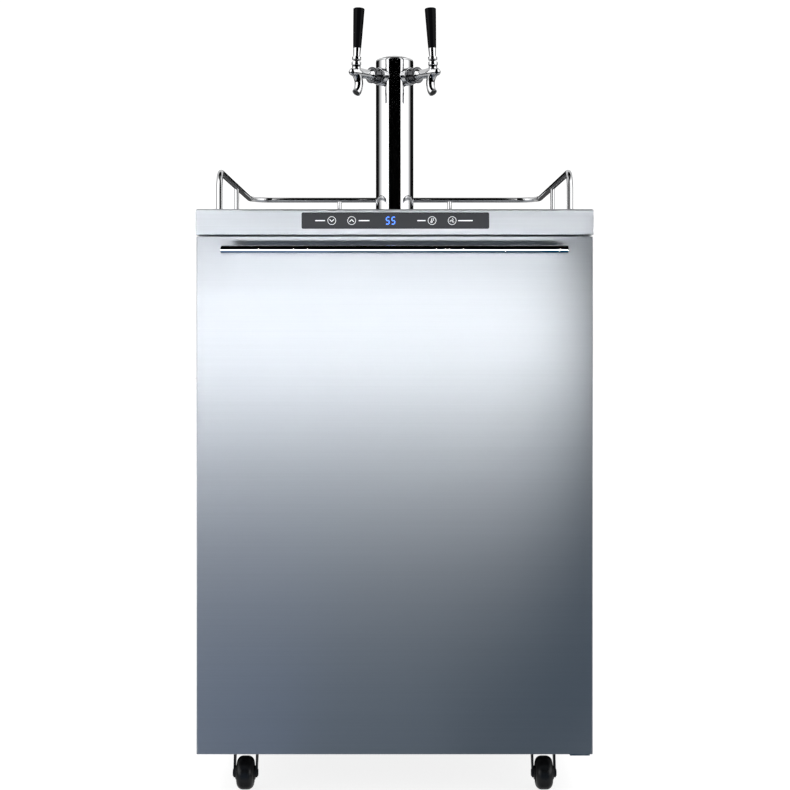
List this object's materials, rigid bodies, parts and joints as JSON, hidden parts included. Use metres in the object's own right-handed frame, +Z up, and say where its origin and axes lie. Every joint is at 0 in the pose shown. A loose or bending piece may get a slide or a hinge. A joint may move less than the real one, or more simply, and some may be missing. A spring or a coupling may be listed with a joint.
{
  "type": "kegerator",
  "caption": "Refrigerated beer keg cabinet on swivel casters, with a hinged steel door, a bar handle, a guard rail and a chromed draft tower with lever taps.",
  "frame": {"origin": "on the floor, below the middle of the whole object's box", "axes": "+Z up, -Y towards the front (the door), +X to the viewer's right"},
  "size_m": [0.6, 0.676, 1.2503],
  "materials": {
    "stainless": "brushed",
    "chrome": "polished",
    "black_plastic": "moulded",
    "black_gloss": "glossy",
    "white_plastic": "vacuum formed",
    "foam": "foamed in place",
    "overlay": "satin printed film",
    "circuit": "solder mask",
    "black_paint": "powder coat",
    "galvanised": "galvanised",
    "copper": "drawn tube",
    "aluminium": "satin",
    "brass": "machined",
    "rubber": "moulded",
    "gasket": "extruded",
    "light_lens": "frosted",
    "blue_plastic": "moulded",
    "red_plastic": "moulded"
  },
  "bodies": {
    "cabinet": {"cabinet_shell": "stainless", "cabinet_foam": "foam", "inner_liner": "white_plastic", "worktop": "stainless", "control_overlay": "overlay", "control_board": "circuit", "base_tray": "black_paint", "rear_panel": "galvanised", "compressor": "black_paint", "condenser_coil": "black_paint", "refrigerant_lines": "copper", "evaporator_plate": "aluminium", "fan_housing": "black_plastic", "keg_floor_plate": "stainless", "guard_rail": "chrome", "tower_column": "chrome", "tower_cap": "chrome", "tower_flange": "chrome", "tower_duct": "foam", "shank_collars": "chrome", "faucet_shanks": "chrome", "coupling_nuts": "chrome", "left_faucet_body": "chrome", "right_faucet_body": "chrome", "door_hinges": "galvanised", "caster_plates": "galvanised", "co2_cylinder": "aluminium", "co2_regulator": "brass", "cylinder_strap": "rubber", "interior_light": "light_lens", "power_inlet": "black_plastic"},
    "door": {"door_skin": "stainless", "door_foam": "foam", "door_liner": "white_plastic", "door_gasket": "gasket", "door_handle": "chrome"},
    "drip_tray": {"drip_tray": "black_plastic"},
    "drip_grid": {"drip_grid": "stainless"},
    "fan_impeller": {"fan_impeller": "black_plastic"},
    "cylinder_knob": {"cylinder_knob": "blue_plastic"},
    "regulator_knob": {"regulator_knob": "black_plastic"},
    "shutoff_lever": {"shutoff_lever": "red_plastic"},
    "left_tap_lever": {"left_lever": "chrome", "left_tap_handle": "black_gloss"},
    "left_plunger": {"left_plunger": "stainless"},
    "right_tap_lever": {"right_lever": "chrome", "right_tap_handle": "black_gloss"},
    "right_plunger": {"right_plunger": "stainless"},
    "down_key": {"down_key": "overlay"},
    "up_key": {"up_key": "overlay"},
    "temperature_key": {"temperature_key": "overlay"},
    "fan_key": {"fan_key": "overlay"},
    "front_left_yoke": {"front_left_yoke": "black_paint"},
    "front_left_wheel": {"front_left_wheel": "rubber"},
    "front_right_yoke": {"front_right_yoke": "black_paint"},
    "front_right_wheel": {"front_right_wheel": "rubber"},
    "rear_left_yoke": {"rear_left_yoke": "black_paint"},
    "rear_left_wheel": {"rear_left_wheel": "rubber"},
    "rear_right_yoke": {"rear_right_yoke": "black_paint"},
    "rear_right_wheel": {"rear_right_wheel": "rubber"}
  },
  "joints": [
    {"name": "door_hinge", "type": "hinge", "parent": "cabinet", "child": "door", "pos_m": [0.281, -0.262, 0.468], "axis": [0, 0, 1], "range_deg": [0, 120]},
    {"name": "drip_tray_lift", "type": "slide", "parent": "cabinet", "child": "drip_tray", "axis": [0, 0, 1], "range_m": [0, 0.05]},
    {"name": "drip_grid_lift", "type": "slide", "parent": "drip_tray", "child": "drip_grid", "axis": [0, 0, 1], "range_m": [0, 0.03]},
    {"name": "fan_spin", "type": "hinge", "parent": "cabinet", "child": "fan_impeller", "pos_m": [0.07, 0.25, 0.785], "axis": [0, 1, 0], "continuous": true},
    {"name": "cylinder_knob_turn", "type": "hinge", "parent": "cabinet", "child": "cylinder_knob", "pos_m": [-0.18, 0.1955, 0.733], "axis": [0, 0, 1], "range_deg": [0, 360]},
    {"name": "regulator_knob_turn", "type": "hinge", "parent": "cabinet", "child": "regulator_knob", "pos_m": [-0.1, 0.18, 0.71], "axis": [0, -1, 0], "range_deg": [0, 360]},
    {"name": "shutoff_turn", "type": "hinge", "parent": "cabinet", "child": "shutoff_lever", "pos_m": [-0.1, 0.194, 0.676], "axis": [0, -1, 0], "range_deg": [0, 90]},
    {"name": "left_lever_swing", "type": "hinge", "parent": "cabinet", "child": "left_tap_lever", "pos_m": [-0.06321, -0.06721, 1.157], "axis": [0.7071, -0.7071, 0], "range_deg": [0, 26]},
    {"name": "left_plunger_slide", "type": "slide", "parent": "cabinet", "child": "left_plunger", "axis": [0.7071, 0.7071, 0], "range_m": [0, 0.0064]},
    {"name": "right_lever_swing", "type": "hinge", "parent": "cabinet", "child": "right_tap_lever", "pos_m": [0.06321, -0.06721, 1.157], "axis": [0.7071, 0.7071, 0], "range_deg": [0, 26]},
    {"name": "right_plunger_slide", "type": "slide", "parent": "cabinet", "child": "right_plunger", "axis": [-0.7071, 0.7071, 0], "range_m": [0, 0.0064]},
    {"name": "down_key_press", "type": "slide", "parent": "cabinet", "child": "down_key", "axis": [0, 1, 0], "range_m": [0, 0.0007], "stiffness_N_per_m": 400},
    {"name": "up_key_press", "type": "slide", "parent": "cabinet", "child": "up_key", "axis": [0, 1, 0], "range_m": [0, 0.0007], "stiffness_N_per_m": 400},
    {"name": "temperature_key_press", "type": "slide", "parent": "cabinet", "child": "temperature_key", "axis": [0, 1, 0], "range_m": [0, 0.0007], "stiffness_N_per_m": 400},
    {"name": "fan_key_press", "type": "slide", "parent": "cabinet", "child": "fan_key", "axis": [0, 1, 0], "range_m": [0, 0.0007], "stiffness_N_per_m": 400},
    {"name": "front_left_swivel", "type": "hinge", "parent": "cabinet", "child": "front_left_yoke", "pos_m": [-0.233, -0.184, 0.064], "axis": [0, 0, 1], "continuous": true},
    {"name": "front_left_roll", "type": "hinge", "parent": "front_left_yoke", "child": "front_left_wheel", "pos_m": [-0.233, -0.202, 0.02575], "axis": [1, 0, 0], "continuous": true},
    {"name": "front_right_swivel", "type": "hinge", "parent": "cabinet", "child": "front_right_yoke", "pos_m": [0.233, -0.184, 0.064], "axis": [0, 0, 1], "continuous": true},
    {"name": "front_right_roll", "type": "hinge", "parent": "front_right_yoke", "child": "front_right_wheel", "pos_m": [0.233, -0.202, 0.02575], "axis": [1, 0, 0], "continuous": true},
    {"name": "rear_left_swivel", "type": "hinge", "parent": "cabinet", "child": "rear_left_yoke", "pos_m": [-0.233, 0.26, 0.064], "axis": [0, 0, 1], "continuous": true},
    {"name": "rear_left_roll", "type": "hinge", "parent": "rear_left_yoke", "child": "rear_left_wheel", "pos_m": [-0.233, 0.242, 0.02575], "axis": [1, 0, 0], "continuous": true},
    {"name": "rear_right_swivel", "type": "hinge", "parent": "cabinet", "child": "rear_right_yoke", "pos_m": [0.233, 0.26, 0.064], "axis": [0, 0, 1], "continuous": true},
    {"name": "rear_right_roll", "type": "hinge", "parent": "rear_right_yoke", "child": "rear_right_wheel", "pos_m": [0.233, 0.242, 0.02575], "axis": [1, 0, 0], "continuous": true}
  ],
  "couplings": [
    {"joint": "left_plunger_slide", "follows": "left_lever_swing", "m_per_rad": 0.0137},
    {"joint": "right_plunger_slide", "follows": "right_lever_swing", "m_per_rad": 0.0137}
  ]
}
